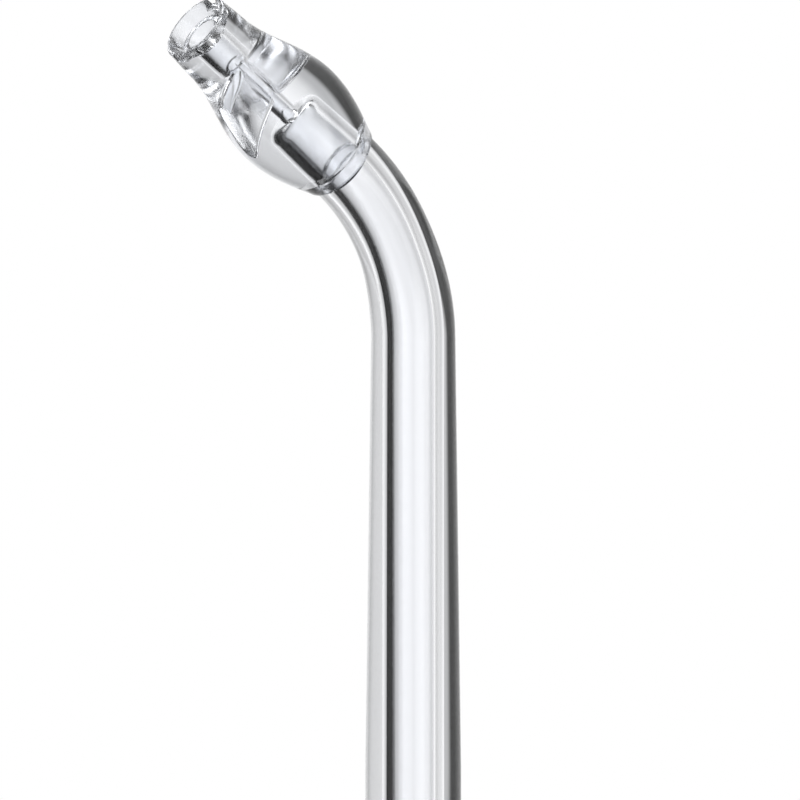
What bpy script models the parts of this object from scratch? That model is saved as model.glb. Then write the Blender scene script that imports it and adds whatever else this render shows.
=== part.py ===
"""Rigid saliva ejector tip: a bent, tapered clear tube with a push-on clear suction head.

Frame: origin at the centre of the valve-end face, +Z up the straight shank, the bend leans to -X.
Metres throughout.
"""

import math

import bmesh
import bpy
from mathutils import Matrix, Vector

MM = 0.001

# Straight shank.
SHANK_LENGTH = 120.0 * MM
SHANK_RADIUS = 3.25 * MM
TAPER_LENGTH = 29.0 * MM
END_CHAMFER = 0.35 * MM

# Bend. The tube flattens while it is bent hot, and most in the second half of the bend.
BEND_ANGLE = math.radians(55.0)
BEND_RADIUS = 14.3 * MM
BEND_START_RADIUS = 2.86 * MM
BEND_END_RADIUS = 2.85 * MM
BEND_FLATTENING = 0.2
FLATTEST_LATE = 1.36
NECK_LENGTH = 0.4 * MM

# Bore of the tube, carried on by the chamber in the head.
BORE_RADIUS = 1.4 * MM

# Spigot on the tube and the socket that slides over it.
SPIGOT_RADIUS = 2.2 * MM
SPIGOT_LENGTH = 1.0 * MM
SPIGOT_CHAMFER = 0.12 * MM
SPIGOT_CLEARANCE = 0.03 * MM
SEAT_GAP = 0.04 * MM
SOCKET_END_GAP = 0.05 * MM

# Head, measured forwards from its seat.
HEAD_LENGTH = 14.7 * MM
HEAD_END_RADIUS = 2.9 * MM
OLIVE_RADIUS = 4.07 * MM
OLIVE_TO_SEAT = 5.23 * MM
NOSE_RADIUS = 2.46 * MM
NOSE_ROOT_RADIUS = 2.58 * MM
NOSE_LENGTH = 1.9 * MM
NOSE_EDGE = 0.15 * MM
NOSE_SLOT_WIDTH = 1.2 * MM
NOSE_SLOT_DEPTH = 0.6 * MM

# Passages in the head.
CUP_RADIUS = 2.2 * MM
CUP_FLOOR_RADIUS = 1.7 * MM
CUP_DEPTH = 0.85 * MM
MOUTH_RADIUS = 1.2 * MM
MOUTH_DEPTH = 0.5 * MM
NOSE_BORE_RADIUS = 0.84 * MM
NOSE_BORE_LENGTH = 3.75 * MM
CHANNEL_FRONT_RADIUS = 0.55 * MM
CHANNEL_REAR_RADIUS = 0.42 * MM
CHANNEL_LENGTH = 5.4 * MM
CHAMBER_CORNER = 0.8 * MM

# Side windows through the shoulder into the channel, one on each side in the plane of the bend.
# Each leans back towards the seat as it goes out.
WINDOW_COUNT = 2
WINDOW_WIDTH = 1.3 * MM
WINDOW_FLOOR = 0.3 * MM
WINDOW_FROM_NOSE = 3.9 * MM
WINDOW_BEFORE_CHAMBER = 1.4 * MM
WINDOW_LEAN = 0.32

# Facets.
SEGMENTS = 48
BEND_STEPS = 14
OLIVE_STEPS = 11
CORNER_STEPS = 4
WINDOW_STEPS = 8


def clear_scene():
    for obj in list(bpy.data.objects):
        bpy.data.objects.remove(obj, do_unlink=True)


def clear_plastic(name, colour, roughness):
    """A rigid transparent plastic."""
    material = bpy.data.materials.new(name)
    material.use_nodes = True
    shader = material.node_tree.nodes["Principled BSDF"]
    shader.inputs["Base Color"].default_value = (*colour, 1.0)
    shader.inputs["Roughness"].default_value = roughness
    shader.inputs["Metallic"].default_value = 0.0
    shader.inputs["IOR"].default_value = 1.57
    shader.inputs["Transmission Weight"].default_value = 1.0
    return material


def ease(t):
    """A smooth step from 0 to 1."""
    return 0.5 - 0.5 * math.cos(math.pi * t)


def ring(centre, across, out, radius_across, radius_out):
    """One ring of points round a centre, an ellipse with the two given half axes."""
    points = []
    for i in range(SEGMENTS):
        turn = 2.0 * math.pi * i / SEGMENTS
        points.append(
            centre + across * (radius_across * math.cos(turn)) + out * (radius_out * math.sin(turn))
        )
    return points


def skin(name, rings, material):
    """An object whose surface runs through the rings in order and back to the first."""
    shape = bmesh.new()
    rows = [[shape.verts.new(point) for point in points] for points in rings]
    for row, following in zip(rows, rows[1:] + rows[:1]):
        for i in range(SEGMENTS):
            j = (i + 1) % SEGMENTS
            shape.faces.new((row[i], row[j], following[j], following[i]))
    bmesh.ops.recalc_face_normals(shape, faces=shape.faces)
    mesh = bpy.data.meshes.new(name)
    shape.to_mesh(mesh)
    shape.free()
    mesh.materials.append(material)
    mesh.shade_smooth()
    mesh.set_sharp_from_angle(angle=math.radians(30.0))
    obj = bpy.data.objects.new(name, mesh)
    bpy.context.scene.collection.objects.link(obj)
    return obj


def seat_frame():
    """The seat at the front end of the tube: +Z of the matrix points to the nose."""
    centre = Vector((-BEND_RADIUS, 0.0, SHANK_LENGTH))
    outwards = Vector((math.cos(BEND_ANGLE), 0.0, math.sin(BEND_ANGLE)))
    forwards = Vector((-math.sin(BEND_ANGLE), 0.0, math.cos(BEND_ANGLE)))
    place = centre + outwards * BEND_RADIUS + forwards * NECK_LENGTH
    return Matrix.Translation(place) @ Matrix.Rotation(-BEND_ANGLE, 4, "Y")


def bend_ring(t, radius):
    """A ring of the bend, at t from 0 at the shank to 1 at its front end."""
    angle = BEND_ANGLE * t
    outwards = Vector((math.cos(angle), 0.0, math.sin(angle)))
    centre = Vector((-BEND_RADIUS, 0.0, SHANK_LENGTH)) + outwards * BEND_RADIUS
    squash = 1.0 - BEND_FLATTENING * math.sin(math.pi * t ** FLATTEST_LATE) ** 2
    return ring(centre, outwards, Vector((0.0, 1.0, 0.0)), radius * squash, radius)


def shank_ring(height, radius):
    """A ring of the straight shank."""
    x, y = Vector((1.0, 0.0, 0.0)), Vector((0.0, 1.0, 0.0))
    return ring(Vector((0.0, 0.0, height)), x, y, radius, radius)


def seat_ring(ahead, radius):
    """A ring ahead of the seat, in the head's direction."""
    seat = seat_frame()
    x, y, z = (seat.col[i].to_3d() for i in range(3))
    return ring(seat.to_translation() + z * ahead, x, y, radius, radius)


def build_tube(material):
    """The bent, tapered tube with its spigot, all one moulding."""
    steps = [i / BEND_STEPS for i in range(BEND_STEPS + 1)]
    rings = [
        shank_ring(0.0, SHANK_RADIUS - END_CHAMFER),
        shank_ring(END_CHAMFER, SHANK_RADIUS),
        shank_ring(SHANK_LENGTH - TAPER_LENGTH, SHANK_RADIUS),
    ]
    for t in steps:
        rings.append(bend_ring(t, BEND_START_RADIUS + (BEND_END_RADIUS - BEND_START_RADIUS) * t))
    rings.append(seat_ring(0.0, BEND_END_RADIUS))
    rings.append(seat_ring(0.0, SPIGOT_RADIUS))
    rings.append(seat_ring(SPIGOT_LENGTH - SPIGOT_CHAMFER, SPIGOT_RADIUS))
    rings.append(seat_ring(SPIGOT_LENGTH, SPIGOT_RADIUS - SPIGOT_CHAMFER))
    rings.append(seat_ring(SPIGOT_LENGTH, BORE_RADIUS))
    for t in reversed(steps):
        rings.append(bend_ring(t, BORE_RADIUS))
    rings.append(shank_ring(0.0, BORE_RADIUS))
    return skin("cannula_tube", rings, material)


def head_outline():
    """The closed half section of the head as (height over the seat, radius), front edge first."""
    front = HEAD_LENGTH
    olive = OLIVE_TO_SEAT
    nose_root = HEAD_LENGTH - NOSE_LENGTH
    outline = []
    for i in range(CORNER_STEPS + 1):
        turn = 0.5 * math.pi * i / CORNER_STEPS
        rise = NOSE_EDGE * (1.0 - math.cos(turn))
        outline.append((front - rise, NOSE_RADIUS - NOSE_EDGE * (1.0 - math.sin(turn))))
    for i in range(OLIVE_STEPS):
        t = i / OLIVE_STEPS
        radius = NOSE_ROOT_RADIUS + (OLIVE_RADIUS - NOSE_ROOT_RADIUS) * ease(t)
        outline.append((nose_root + (olive - nose_root) * t, radius))
    for i in range(OLIVE_STEPS + 1):
        t = i / OLIVE_STEPS
        radius = HEAD_END_RADIUS + (OLIVE_RADIUS - HEAD_END_RADIUS) * math.cos(0.5 * math.pi * t)
        outline.append((olive + (SEAT_GAP - olive) * t, radius))
    return outline


def passage_outline():
    """The bore of the head as (height over the seat, radius), from the seat to the nose."""
    socket_radius = SPIGOT_RADIUS + SPIGOT_CLEARANCE
    socket_end = SPIGOT_LENGTH + SOCKET_END_GAP
    bore_end = HEAD_LENGTH - NOSE_BORE_LENGTH
    chamber_end = bore_end - CHANNEL_LENGTH
    cup_floor = HEAD_LENGTH - CUP_DEPTH
    outline = [
        (SEAT_GAP, socket_radius),
        (socket_end, socket_radius),
        (socket_end, BORE_RADIUS),
    ]
    for i in range(CORNER_STEPS + 1):
        turn = 0.5 * math.pi * i / CORNER_STEPS
        rise = chamber_end - CHAMBER_CORNER * (1.0 - math.sin(turn))
        outline.append((rise, BORE_RADIUS - CHAMBER_CORNER * (1.0 - math.cos(turn))))
    outline.append((chamber_end, CHANNEL_REAR_RADIUS))
    outline.append((bore_end, CHANNEL_FRONT_RADIUS))
    outline.append((bore_end, NOSE_BORE_RADIUS))
    outline.append((cup_floor - MOUTH_DEPTH, NOSE_BORE_RADIUS))
    outline.append((cup_floor, MOUTH_RADIUS))
    outline.append((cup_floor, CUP_FLOOR_RADIUS))
    outline.append((HEAD_LENGTH, CUP_RADIUS))
    return outline


def cutter(name, outline, depth, lean, place, parent):
    """A prism that is cut from the head: the outline in X and Y, its depth along +Z.

    Its far end is moved along Y by the lean.
    """
    shape = bmesh.new()
    face = shape.faces.new([shape.verts.new((x, y, 0.0)) for x, y in outline])
    lifted = bmesh.ops.extrude_face_region(shape, geom=[face])
    top = [item for item in lifted["geom"] if isinstance(item, bmesh.types.BMVert)]
    bmesh.ops.translate(shape, verts=top, vec=(0.0, lean, depth))
    bmesh.ops.recalc_face_normals(shape, faces=shape.faces)
    mesh = bpy.data.meshes.new(name)
    shape.to_mesh(mesh)
    shape.free()
    obj = bpy.data.objects.new(name, mesh)
    bpy.context.scene.collection.objects.link(obj)
    obj.parent = parent
    obj.matrix_local = place
    obj.hide_render = True
    obj.display_type = "WIRE"
    return obj


def cut(obj, tool):
    modifier = obj.modifiers.new(tool.name, "BOOLEAN")
    modifier.operation = "DIFFERENCE"
    modifier.solver = "EXACT"
    modifier.object = tool


def build_head(material):
    """The clear suction head, its origin at the seat and +Z along the line it pulls off."""
    x, y = Vector((1.0, 0.0, 0.0)), Vector((0.0, 1.0, 0.0))
    rings = [
        ring(Vector((0.0, 0.0, height)), x, y, radius, radius)
        for height, radius in head_outline() + passage_outline()
    ]
    head = skin("suction_head", rings, material)
    head.matrix_world = seat_frame()

    reach = OLIVE_RADIUS
    half = 0.5 * NOSE_SLOT_WIDTH
    slot = [(-reach, -half), (reach, -half), (reach, half), (-reach, half)]
    place = Matrix.Translation((0.0, 0.0, HEAD_LENGTH - NOSE_SLOT_DEPTH))
    cut(head, cutter("cut_nose_slot", slot, reach, 0.0, place, head))

    front = HEAD_LENGTH - WINDOW_FROM_NOSE
    rear = HEAD_LENGTH - NOSE_BORE_LENGTH - CHANNEL_LENGTH + WINDOW_BEFORE_CHAMBER
    half = 0.5 * WINDOW_WIDTH
    straight = 0.5 * (front - rear) - half
    outline = []
    for end in (1.0, -1.0):
        for i in range(WINDOW_STEPS + 1):
            turn = math.pi * i / WINDOW_STEPS
            outline.append((end * half * math.cos(turn), end * (straight + half * math.sin(turn))))
    for i in range(WINDOW_COUNT):
        turn = 2.0 * math.pi * i / WINDOW_COUNT
        outwards = Vector((math.cos(turn), math.sin(turn), 0.0))
        sideways = Vector((-math.sin(turn), math.cos(turn), 0.0))
        forwards = Vector((0.0, 0.0, 1.0))
        place = Matrix((sideways, forwards, outwards)).transposed().to_4x4()
        place.translation = forwards * 0.5 * (front + rear) + outwards * WINDOW_FLOOR
        cut(head, cutter(f"cut_window_{i + 1}", outline, reach, -WINDOW_LEAN * reach, place, head))
    return head


clear_scene()
build_tube(clear_plastic("tube_clear", (0.93, 0.95, 0.96), 0.04))
build_head(clear_plastic("head_clear", (0.91, 0.94, 0.95), 0.05))
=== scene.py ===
"""Rigid clear saliva ejector tip: a bent, tapered suction tube and its push-on olive head."""

import math

import bmesh
import bpy
from mathutils import Matrix, Vector


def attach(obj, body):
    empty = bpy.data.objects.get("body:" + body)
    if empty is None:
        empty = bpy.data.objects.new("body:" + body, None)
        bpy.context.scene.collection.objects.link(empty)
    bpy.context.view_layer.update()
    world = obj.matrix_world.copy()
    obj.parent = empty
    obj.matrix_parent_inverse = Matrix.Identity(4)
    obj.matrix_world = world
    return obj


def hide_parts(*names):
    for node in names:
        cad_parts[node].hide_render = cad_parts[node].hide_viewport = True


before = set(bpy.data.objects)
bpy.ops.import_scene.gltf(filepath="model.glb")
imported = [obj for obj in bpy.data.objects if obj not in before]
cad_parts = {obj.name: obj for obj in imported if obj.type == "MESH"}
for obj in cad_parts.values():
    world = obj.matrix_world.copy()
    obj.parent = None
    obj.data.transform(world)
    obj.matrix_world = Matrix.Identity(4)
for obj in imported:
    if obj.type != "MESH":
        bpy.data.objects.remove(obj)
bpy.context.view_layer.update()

MM = 0.001

# Sizes of the tube.
SHANK_LENGTH = 120.0 * MM
SHANK_RADIUS = 3.25 * MM
TAPER_LENGTH = 29.0 * MM
END_CHAMFER = 0.35 * MM
BEND_ANGLE = math.radians(55.0)
BEND_RADIUS = 14.3 * MM
BEND_START_RADIUS = 2.86 * MM
BEND_END_RADIUS = 2.85 * MM
BEND_FLATTENING = 0.2
FLATTEST_LATE = 1.36
NECK_LENGTH = 0.4 * MM
BORE_RADIUS = 1.4 * MM
SPIGOT_RADIUS = 2.2 * MM
SPIGOT_LENGTH = 1.0 * MM
SPIGOT_CHAMFER = 0.12 * MM
SPIGOT_CLEARANCE = 0.03 * MM
SEAT_GAP = 0.04 * MM
SOCKET_END_GAP = 0.05 * MM

# Sizes of the head, measured from its seat.
HEAD_LENGTH = 14.7 * MM
HEAD_END_RADIUS = 2.9 * MM
OLIVE_RADIUS = 4.07 * MM
OLIVE_TO_SEAT = 5.23 * MM
NOSE_RADIUS = 2.46 * MM
NOSE_ROOT_RADIUS = 2.58 * MM
NOSE_LENGTH = 1.9 * MM
NOSE_EDGE = 0.15 * MM
NOSE_SLOT_WIDTH = 1.2 * MM
NOSE_SLOT_DEPTH = 0.6 * MM
CUP_RADIUS = 2.2 * MM
CUP_FLOOR_RADIUS = 1.7 * MM
CUP_DEPTH = 0.85 * MM
MOUTH_RADIUS = 1.2 * MM
MOUTH_DEPTH = 0.5 * MM
NOSE_BORE_RADIUS = 0.84 * MM
NOSE_BORE_LENGTH = 3.75 * MM
CHANNEL_FRONT_RADIUS = 0.55 * MM
CHANNEL_REAR_RADIUS = 0.42 * MM
CHANNEL_LENGTH = 5.4 * MM
CHAMBER_CORNER = 0.8 * MM
WINDOW_COUNT = 2
WINDOW_WIDTH = 1.3 * MM
WINDOW_FLOOR = 0.3 * MM
WINDOW_FROM_NOSE = 3.9 * MM
WINDOW_BEFORE_CHAMBER = 1.4 * MM
WINDOW_LEAN = 0.32

# Smoothness of the finished pieces.
SIDES = 320
BEND_STEPS = 48
OLIVE_STEPS = 28
CORNER_STEPS = 8
WINDOW_CORNER = 0.48 * WINDOW_WIDTH
WINDOW_CORNER_STEPS = 24
SHARPEST_SMOOTH_DEGREES = 35.0
FACE_AREA_WEIGHT = 100

# Clear plastic: its colour, how far its marks are drawn out, and how smooth it is.
PLASTIC_IOR = 1.49
TUBE_COLOUR = (0.965, 0.972, 0.99)
TUBE_MARK_STRETCH = (1.0, 1.0, 0.12)
TUBE_POLISH = 0.01
TUBE_RIPPLE = 0.002 * MM
HEAD_COLOUR = (0.91, 0.925, 0.955)
HEAD_MARK_STRETCH = (1.0, 1.0, 1.0)
HEAD_POLISH = 0.08
HEAD_RIPPLE = 0.0005 * MM
RUB = 0.05
RUB_SCALE = 260.0
RUB_DETAIL = 5.0
RUB_FROM = 0.52
RUB_FULL = 0.78
RIPPLE_SCALE = 420.0
RIPPLE_DETAIL = 1.0

# The studio floor.
FLOOR_RADIUS = 1.1
FLOOR_SIDES = 128
PAPER_DULL = (0.90, 0.90, 0.90, 1.0)
PAPER_BRIGHT = (0.94, 0.94, 0.94, 1.0)
PAPER_ROUGHNESS = 0.9
PAPER_TOOTH_SCALE = 40.0

# The camera and how much it sees.
VIEW_TURN = math.radians(39.17)
VIEW_DISTANCE = 338.5 * MM
AIM_HEIGHT = 115.963 * MM
AIM_SIDE = -0.9 * MM
VIEW_HEIGHT = 54.16 * MM
SENSOR = 36.0
CLIP_START = 0.01
CLIP_END = 20.0

# The camera's right, and the way from the object to the camera.
RIGHTWARDS = Vector((math.cos(VIEW_TURN), -math.sin(VIEW_TURN), 0.0))
TO_CAMERA = Vector((-math.sin(VIEW_TURN), -math.cos(VIEW_TURN), 0.0))

# The studio is bright to the right and above, dark to the left and below. The split runs
# square to this direction, which is scaled so that level directions keep their own angle.
BRIGHT_RISE = math.radians(40.0)
BRIGHT_SIDE = RIGHTWARDS + Vector((0.0, 0.0, math.tan(BRIGHT_RISE)))

# Brightness of the studio in degrees from straight behind the object towards the bright side.
STUDIO_LIGHT = (
    (-180, 0.30), (-150, 0.40), (-128, 0.40), (-118, 0.00), (-84, 0.02), (-42, 0.01),
    (-36, 0.55), (-32, 0.55), (-20, 0.80), (-6, 1.00), (6, 1.00), (16, 0.82), (32, 0.70),
    (46, 0.66), (60, 0.50), (68, 0.65), (76, 0.95), (86, 0.85), (89, 0.00), (99, 0.00),
    (105, 1.50), (112, 3.00), (138, 3.00), (150, 1.80), (170, 1.20), (180, 0.30),
)
STUDIO_PEAK = 3.0
LIGHT_BOUNCES = 32
GLOSSY_BOUNCES = 16


def ease(t):
    """A smooth step from 0 to 1."""
    return 0.5 - 0.5 * math.cos(math.pi * t)


def seat_frame():
    """The seat at the front end of the tube: +Z of the matrix points to the nose."""
    centre = Vector((-BEND_RADIUS, 0.0, SHANK_LENGTH))
    outwards = Vector((math.cos(BEND_ANGLE), 0.0, math.sin(BEND_ANGLE)))
    forwards = Vector((-math.sin(BEND_ANGLE), 0.0, math.cos(BEND_ANGLE)))
    place = centre + outwards * BEND_RADIUS + forwards * NECK_LENGTH
    return Matrix.Translation(place) @ Matrix.Rotation(-BEND_ANGLE, 4, "Y")


def start_ring(name, height, radius):
    """Adds a ring round Z and opens it for editing, all of it selected."""
    bpy.ops.object.select_all(action="DESELECT")
    bpy.ops.mesh.primitive_circle_add(vertices=SIDES, radius=radius, location=(0.0, 0.0, height))
    ring = bpy.context.object
    ring.name = name
    ring.data.name = name
    bpy.ops.object.transform_apply(location=True, rotation=False, scale=False)
    bpy.ops.object.mode_set(mode="EDIT")
    bpy.ops.mesh.select_all(action="SELECT")
    return ring


def pull_ring(rise, centre, grow):
    """Extrudes the open ring along Z, then widens or narrows it about its new centre."""
    bpy.ops.mesh.extrude_region_move(TRANSFORM_OT_translate={"value": (0.0, 0.0, rise)})
    bpy.ops.transform.resize(value=(grow, grow, 1.0), center_override=centre)


def close_wall():
    """Joins the last ring to the first, which closes the wall of a hollow turned shape."""
    bpy.ops.mesh.select_all(action="DESELECT")
    bpy.ops.mesh.select_non_manifold()
    bpy.ops.mesh.bridge_edge_loops()
    bpy.ops.mesh.select_all(action="SELECT")
    bpy.ops.mesh.normals_make_consistent(inside=False)
    bpy.ops.object.mode_set(mode="OBJECT")


def turned_wall(name, section):
    """A hollow shape turned round Z from its closed half section of (height, radius)."""
    height, radius = section[0]
    piece = start_ring(name, height, radius)
    for next_height, next_radius in section[1:]:
        pull_ring(next_height - height, (0.0, 0.0, next_height), next_radius / radius)
        height, radius = next_height, next_radius
    close_wall()
    return piece


def put_at(piece, place):
    """Moves a finished piece to its place and keeps the place in its mesh."""
    piece.matrix_world = place
    pick(piece)
    bpy.ops.object.transform_apply(location=True, rotation=True, scale=True)


def pick(piece):
    """Makes the piece the only one selected, and the active one."""
    bpy.ops.object.select_all(action="DESELECT")
    piece.select_set(True)
    bpy.context.view_layer.objects.active = piece


def apply_all(piece):
    """Applies the piece's modifiers in their order."""
    pick(piece)
    for modifier in list(piece.modifiers):
        bpy.ops.object.modifier_apply(modifier=modifier.name)


def smooth(piece):
    """Shades the piece smooth, keeps its edges sharp and its flat faces flat."""
    pick(piece)
    bpy.ops.object.shade_smooth_by_angle(angle=math.radians(SHARPEST_SMOOTH_DEGREES))
    weight = piece.modifiers.new("even_shading", "WEIGHTED_NORMAL")
    weight.keep_sharp = True
    weight.weight = FACE_AREA_WEIGHT
    apply_all(piece)


def choose(piece, kind, wanted):
    """Selects, in edit mode, just the vertices or edges that the rule wants."""
    bpy.ops.mesh.select_all(action="DESELECT")
    bpy.ops.mesh.select_mode(type="VERT" if kind == "vert" else "EDGE")
    shape = bmesh.from_edit_mesh(piece.data)
    for part in shape.verts if kind == "vert" else shape.edges:
        part.select = wanted(part)
    shape.select_flush_mode()
    bmesh.update_edit_mesh(piece.data)


def cut(piece, tool):
    """Takes the tool's shape out of the piece, and the tool out of the scene."""
    modifier = piece.modifiers.new("cut", "BOOLEAN")
    modifier.operation = "DIFFERENCE"
    modifier.solver = "EXACT"
    modifier.object = tool
    apply_all(piece)
    bpy.data.objects.remove(tool, do_unlink=True)


def head_section():
    """Half section of the head, from the front edge back over the olive and out by the bore."""
    front = HEAD_LENGTH
    olive = OLIVE_TO_SEAT
    nose_root = HEAD_LENGTH - NOSE_LENGTH
    section = []
    for i in range(CORNER_STEPS + 1):
        turn = 0.5 * math.pi * i / CORNER_STEPS
        rise = NOSE_EDGE * (1.0 - math.cos(turn))
        section.append((front - rise, NOSE_RADIUS - NOSE_EDGE * (1.0 - math.sin(turn))))
    for i in range(OLIVE_STEPS):
        t = i / OLIVE_STEPS
        radius = NOSE_ROOT_RADIUS + (OLIVE_RADIUS - NOSE_ROOT_RADIUS) * ease(t)
        section.append((nose_root + (olive - nose_root) * t, radius))
    for i in range(OLIVE_STEPS + 1):
        t = i / OLIVE_STEPS
        radius = HEAD_END_RADIUS + (OLIVE_RADIUS - HEAD_END_RADIUS) * math.cos(0.5 * math.pi * t)
        section.append((olive + (SEAT_GAP - olive) * t, radius))

    socket_radius = SPIGOT_RADIUS + SPIGOT_CLEARANCE
    socket_end = SPIGOT_LENGTH + SOCKET_END_GAP
    bore_end = HEAD_LENGTH - NOSE_BORE_LENGTH
    chamber_end = bore_end - CHANNEL_LENGTH
    section.append((SEAT_GAP, socket_radius))
    section.append((socket_end, socket_radius))
    section.append((socket_end, BORE_RADIUS))
    for i in range(CORNER_STEPS + 1):
        turn = 0.5 * math.pi * i / CORNER_STEPS
        rise = chamber_end - CHAMBER_CORNER * (1.0 - math.sin(turn))
        section.append((rise, BORE_RADIUS - CHAMBER_CORNER * (1.0 - math.cos(turn))))
    section.append((chamber_end, CHANNEL_REAR_RADIUS))
    section.append((bore_end, CHANNEL_FRONT_RADIUS))
    section.append((bore_end, NOSE_BORE_RADIUS))
    cup_floor = HEAD_LENGTH - CUP_DEPTH
    section.append((cup_floor - MOUTH_DEPTH, NOSE_BORE_RADIUS))
    section.append((cup_floor, MOUTH_RADIUS))
    section.append((cup_floor, CUP_FLOOR_RADIUS))
    section.append((HEAD_LENGTH, CUP_RADIUS))
    return section


def slot_tool():
    """The block that leaves the slot across the nose."""
    bpy.ops.object.select_all(action="DESELECT")
    reach = 2.0 * OLIVE_RADIUS
    bpy.ops.mesh.primitive_cube_add(size=1.0)
    tool = bpy.context.object
    tool.scale = (reach, NOSE_SLOT_WIDTH, reach)
    tool.location = (0.0, 0.0, HEAD_LENGTH - NOSE_SLOT_DEPTH + 0.5 * reach)
    bpy.ops.object.transform_apply(location=True, rotation=True, scale=True)
    return tool


def window_tool(turn):
    """The rounded bar that leaves one window, standing out from the axis at the given turn.

    It leans back towards the seat as it goes out, and its foot breaks into the channel.
    """
    front = HEAD_LENGTH - WINDOW_FROM_NOSE
    rear = HEAD_LENGTH - NOSE_BORE_LENGTH - CHANNEL_LENGTH + WINDOW_BEFORE_CHAMBER
    depth = OLIVE_RADIUS
    bpy.ops.object.select_all(action="DESELECT")
    bpy.ops.mesh.primitive_cube_add(size=1.0)
    tool = bpy.context.object
    tool.scale = (front - rear, WINDOW_WIDTH, depth)
    tool.location = (0.5 * (front + rear), 0.0, WINDOW_FLOOR + 0.5 * depth)
    bpy.ops.object.transform_apply(location=True, rotation=True, scale=True)
    bpy.ops.object.mode_set(mode="EDIT")
    choose(tool, "vert", lambda vertex: vertex.co.z > WINDOW_FLOOR + 0.5 * depth)
    bpy.ops.transform.translate(value=(-WINDOW_LEAN * depth, 0.0, 0.0))
    choose(tool, "edge", lambda edge: abs(edge.verts[0].co.z - edge.verts[1].co.z) > 0.5 * depth)
    bpy.ops.mesh.bevel(offset=WINDOW_CORNER, segments=WINDOW_CORNER_STEPS)
    bpy.ops.object.mode_set(mode="OBJECT")
    outwards = Vector((math.cos(turn), math.sin(turn), 0.0))
    sideways = Vector((-math.sin(turn), math.cos(turn), 0.0))
    forwards = Vector((0.0, 0.0, 1.0))
    put_at(tool, Matrix((forwards, -sideways, outwards)).transposed().to_4x4())
    return tool


def make_head():
    """The clear suction head with its slot and windows."""
    head = turned_wall("suction_head_clear", head_section())
    cut(head, slot_tool())
    for i in range(WINDOW_COUNT):
        cut(head, window_tool(2.0 * math.pi * i / WINDOW_COUNT))
    put_at(head, seat_frame())
    smooth(head)
    return head


def slide_ring(offset):
    """Extrudes the open ring by the offset."""
    bpy.ops.mesh.extrude_region_move(TRANSFORM_OT_translate={"value": offset})


def shrink_ring(grow):
    """A flat step: a new ring in the seat's plane, wider or narrower than the last."""
    bpy.ops.mesh.extrude_region_move(TRANSFORM_OT_translate={"value": (0.0, 0.0, 0.0)})
    bpy.ops.transform.resize(value=(grow, grow, grow), center_override=ring_centre())


def ring_centre():
    """The middle of the ring that is selected."""
    shape = bmesh.from_edit_mesh(bpy.context.object.data)
    chosen = [vertex.co for vertex in shape.verts if vertex.select]
    return sum(chosen, Vector()) / len(chosen)


def sweep_bend(first_radius, last_radius, way):
    """Sweeps the ring round the bend, forwards or back, squashing it as the bend does."""
    centre = Vector((-BEND_RADIUS, 0.0, SHANK_LENGTH))
    step = BEND_ANGLE / BEND_STEPS
    last_squash, last_size = 1.0, first_radius
    for i in range(1, BEND_STEPS + 1):
        t = i / BEND_STEPS if way > 0.0 else 1.0 - i / BEND_STEPS
        size = first_radius + (last_radius - first_radius) * i / BEND_STEPS
        squash = 1.0 - BEND_FLATTENING * math.sin(math.pi * t ** FLATTEST_LATE) ** 2
        angle = BEND_ANGLE * t
        bpy.ops.mesh.extrude_region_move(TRANSFORM_OT_translate={"value": (0.0, 0.0, 0.0)})
        bpy.ops.transform.rotate(value=way * step, orient_axis="Y", center_override=centre)
        outwards = Vector((math.cos(angle), 0.0, math.sin(angle)))
        forwards = Vector((-math.sin(angle), 0.0, math.cos(angle)))
        axes = Matrix((outwards, Vector((0.0, 1.0, 0.0)), forwards))
        grow = size / last_size
        bpy.ops.transform.resize(
            value=(grow * squash / last_squash, grow, 1.0),
            orient_type="GLOBAL", orient_matrix=axes, orient_matrix_type="GLOBAL",
            center_override=centre + outwards * BEND_RADIUS,
        )
        last_squash, last_size = squash, size


def make_tube():
    """The bent tube: pulled up the shank, swept round the bend, stepped down to the spigot."""
    tube = start_ring("cannula_tube_clear", 0.0, SHANK_RADIUS - END_CHAMFER)
    pull_ring(END_CHAMFER, (0.0, 0.0, END_CHAMFER), SHANK_RADIUS / (SHANK_RADIUS - END_CHAMFER))
    taper_start = SHANK_LENGTH - TAPER_LENGTH
    pull_ring(taper_start - END_CHAMFER, (0.0, 0.0, taper_start), 1.0)
    pull_ring(TAPER_LENGTH, (0.0, 0.0, SHANK_LENGTH), BEND_START_RADIUS / SHANK_RADIUS)
    sweep_bend(BEND_START_RADIUS, BEND_END_RADIUS, 1.0)
    forwards = Vector((-math.sin(BEND_ANGLE), 0.0, math.cos(BEND_ANGLE)))
    slide_ring(forwards * NECK_LENGTH)
    shrink_ring(SPIGOT_RADIUS / BEND_END_RADIUS)
    slide_ring(forwards * (SPIGOT_LENGTH - SPIGOT_CHAMFER))
    spigot_end_radius = SPIGOT_RADIUS - SPIGOT_CHAMFER
    slide_ring(forwards * SPIGOT_CHAMFER)
    grow = spigot_end_radius / SPIGOT_RADIUS
    bpy.ops.transform.resize(value=(grow, grow, grow), center_override=ring_centre())
    shrink_ring(BORE_RADIUS / spigot_end_radius)
    slide_ring(-forwards * (SPIGOT_LENGTH + NECK_LENGTH))
    sweep_bend(BORE_RADIUS, BORE_RADIUS, -1.0)
    pull_ring(-SHANK_LENGTH, (0.0, 0.0, 0.0), 1.0)
    close_wall()
    smooth(tube)
    return tube


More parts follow.
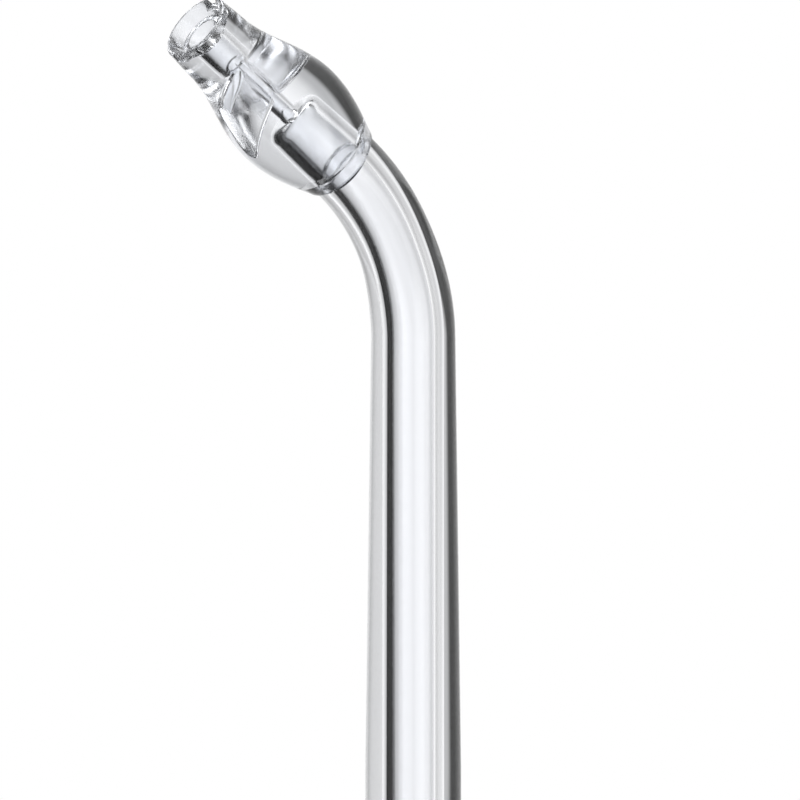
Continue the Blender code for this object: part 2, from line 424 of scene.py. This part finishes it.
def handling_marks():
    """A node group: faint rub marks that roughen a clear surface, and a soft moulding ripple."""
    group = bpy.data.node_groups.new("handling_marks", "ShaderNodeTree")
    sockets = group.interface
    sockets.new_socket("Coordinates", in_out="INPUT", socket_type="NodeSocketVector")
    sockets.new_socket("Polish", in_out="INPUT", socket_type="NodeSocketFloat")
    sockets.new_socket("Rub", in_out="INPUT", socket_type="NodeSocketFloat")
    sockets.new_socket("Roughness", in_out="OUTPUT", socket_type="NodeSocketFloat")
    sockets.new_socket("Ripple", in_out="OUTPUT", socket_type="NodeSocketFloat")
    nodes, links = group.nodes, group.links
    given = nodes.new("NodeGroupInput")
    result = nodes.new("NodeGroupOutput")

    patches = nodes.new("ShaderNodeTexNoise")
    patches.inputs["Scale"].default_value = RUB_SCALE
    patches.inputs["Detail"].default_value = RUB_DETAIL
    links.new(given.outputs["Coordinates"], patches.inputs["Vector"])
    spread = nodes.new("ShaderNodeMapRange")
    spread.inputs["From Min"].default_value = RUB_FROM
    spread.inputs["From Max"].default_value = RUB_FULL
    links.new(patches.outputs["Fac"], spread.inputs["Value"])
    rubbed = nodes.new("ShaderNodeMath")
    rubbed.operation = "MULTIPLY_ADD"
    links.new(spread.outputs["Result"], rubbed.inputs[0])
    links.new(given.outputs["Rub"], rubbed.inputs[1])
    links.new(given.outputs["Polish"], rubbed.inputs[2])
    links.new(rubbed.outputs["Value"], result.inputs["Roughness"])

    ripple = nodes.new("ShaderNodeTexNoise")
    ripple.inputs["Scale"].default_value = RIPPLE_SCALE
    ripple.inputs["Detail"].default_value = RIPPLE_DETAIL
    links.new(given.outputs["Coordinates"], ripple.inputs["Vector"])
    links.new(ripple.outputs["Fac"], result.inputs["Ripple"])
    return group


def clear_plastic(name, marks, colour, stretch, polish, ripple_height):
    """Rigid clear plastic. The marks are stretched by the mapping, as the moulding drew them."""
    material = bpy.data.materials.new(name)
    material.use_nodes = True
    nodes, links = material.node_tree.nodes, material.node_tree.links
    shader = nodes["Principled BSDF"]
    shader.inputs["Base Color"].default_value = (*colour, 1.0)
    shader.inputs["Metallic"].default_value = 0.0
    shader.inputs["IOR"].default_value = PLASTIC_IOR
    shader.inputs["Transmission Weight"].default_value = 1.0
    place = nodes.new("ShaderNodeTexCoord")
    mapping = nodes.new("ShaderNodeMapping")
    mapping.inputs["Scale"].default_value = stretch
    links.new(place.outputs["Object"], mapping.inputs["Vector"])
    worn = nodes.new("ShaderNodeGroup")
    worn.node_tree = marks
    worn.inputs["Polish"].default_value = polish
    worn.inputs["Rub"].default_value = RUB
    links.new(mapping.outputs["Vector"], worn.inputs["Coordinates"])
    links.new(worn.outputs["Roughness"], shader.inputs["Roughness"])
    bump = nodes.new("ShaderNodeBump")
    bump.inputs["Strength"].default_value = 1.0
    bump.inputs["Distance"].default_value = ripple_height
    links.new(worn.outputs["Ripple"], bump.inputs["Height"])
    links.new(bump.outputs["Normal"], shader.inputs["Normal"])
    return material


def floor_paper():
    """The pale paper that the studio floor is laid with."""
    material = bpy.data.materials.new("floor_paper")
    material.use_nodes = True
    nodes, links = material.node_tree.nodes, material.node_tree.links
    shader = nodes["Principled BSDF"]
    shader.inputs["Roughness"].default_value = PAPER_ROUGHNESS
    place = nodes.new("ShaderNodeTexCoord")
    tooth = nodes.new("ShaderNodeTexNoise")
    tooth.inputs["Scale"].default_value = PAPER_TOOTH_SCALE
    links.new(place.outputs["Object"], tooth.inputs["Vector"])
    tone = nodes.new("ShaderNodeMix")
    tone.data_type = "RGBA"
    tone.inputs[6].default_value = PAPER_DULL
    tone.inputs[7].default_value = PAPER_BRIGHT
    links.new(tooth.outputs["Fac"], tone.inputs["Factor"])
    links.new(tone.outputs[2], shader.inputs["Base Color"])
    return material


def make_floor():
    """The round studio floor, which shows its shadows but isn't seen through the plastic."""
    bpy.ops.object.select_all(action="DESELECT")
    bpy.ops.mesh.primitive_circle_add(vertices=FLOOR_SIDES, radius=FLOOR_RADIUS, fill_type="NGON")
    floor = bpy.context.object
    floor.name = "studio_floor"
    floor.data.materials.append(floor_paper())
    floor.visible_transmission = False
    floor.visible_glossy = False


def make_studio():
    """The room: white straight ahead of the camera, its brightness set all round by direction."""
    world = bpy.data.worlds.new("studio")
    world.use_nodes = True
    bpy.context.scene.world = world
    nodes, links = world.node_tree.nodes, world.node_tree.links
    nodes.clear()
    place = nodes.new("ShaderNodeTexCoord")
    parts = []
    for way in (BRIGHT_SIDE, -TO_CAMERA):
        dot = nodes.new("ShaderNodeVectorMath")
        dot.operation = "DOT_PRODUCT"
        dot.inputs[1].default_value = way
        links.new(place.outputs["Generated"], dot.inputs[0])
        parts.append(dot)
    turn = nodes.new("ShaderNodeMath")
    turn.operation = "ARCTAN2"
    links.new(parts[0].outputs["Value"], turn.inputs[0])
    links.new(parts[1].outputs["Value"], turn.inputs[1])
    share = nodes.new("ShaderNodeMapRange")
    share.inputs["From Min"].default_value = -math.pi
    share.inputs["From Max"].default_value = math.pi
    links.new(turn.outputs["Value"], share.inputs["Value"])
    ramp = nodes.new("ShaderNodeValToRGB")
    while len(ramp.color_ramp.elements) < len(STUDIO_LIGHT):
        ramp.color_ramp.elements.new(1.0)
    for stop, (degrees, light) in zip(ramp.color_ramp.elements, STUDIO_LIGHT):
        stop.position = (degrees + 180.0) / 360.0
        level = light / STUDIO_PEAK
        stop.color = (level, level, level, 1.0)
    links.new(share.outputs["Result"], ramp.inputs["Fac"])
    room = nodes.new("ShaderNodeBackground")
    room.inputs["Strength"].default_value = STUDIO_PEAK
    links.new(ramp.outputs["Color"], room.inputs["Color"])
    backdrop = nodes.new("ShaderNodeBackground")
    backdrop.inputs["Color"].default_value = (1.0, 1.0, 1.0, 1.0)
    rays = nodes.new("ShaderNodeLightPath")
    seen = nodes.new("ShaderNodeMixShader")
    links.new(rays.outputs["Is Camera Ray"], seen.inputs["Fac"])
    links.new(room.outputs["Background"], seen.inputs[1])
    links.new(backdrop.outputs["Background"], seen.inputs[2])
    out = nodes.new("ShaderNodeOutputWorld")
    links.new(seen.outputs["Shader"], out.inputs["Surface"])


def make_camera():
    """The camera, level with its aim and turned to the object's side."""
    lens = bpy.data.cameras.new("camera")
    lens.sensor_width = SENSOR
    lens.lens = SENSOR * VIEW_DISTANCE / VIEW_HEIGHT
    lens.clip_start = CLIP_START
    lens.clip_end = CLIP_END
    camera = bpy.data.objects.new("camera", lens)
    bpy.context.scene.collection.objects.link(camera)
    aim = RIGHTWARDS * AIM_SIDE + Vector((0.0, 0.0, AIM_HEIGHT))
    camera.location = aim + TO_CAMERA * VIEW_DISTANCE
    camera.rotation_euler = (aim - camera.location).to_track_quat("-Z", "Y").to_euler()
    bpy.context.scene.camera = camera


make_camera()
make_studio()
make_floor()

marks = handling_marks()
tube = make_tube()
tube_plastic = clear_plastic(
    "tube_clear_plastic", marks, TUBE_COLOUR, TUBE_MARK_STRETCH, TUBE_POLISH, TUBE_RIPPLE
)
tube.data.materials.append(tube_plastic)
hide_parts("cannula_tube")
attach(tube, "tube")

head = make_head()
head_plastic = clear_plastic(
    "head_clear_plastic", marks, HEAD_COLOUR, HEAD_MARK_STRETCH, HEAD_POLISH, HEAD_RIPPLE
)
head.data.materials.append(head_plastic)
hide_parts("suction_head")
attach(head, "head")

scene = bpy.context.scene
scene.view_settings.view_transform = "Standard"
scene.cycles.max_bounces = LIGHT_BOUNCES
scene.cycles.transmission_bounces = LIGHT_BOUNCES
scene.cycles.glossy_bounces = GLOSSY_BOUNCES
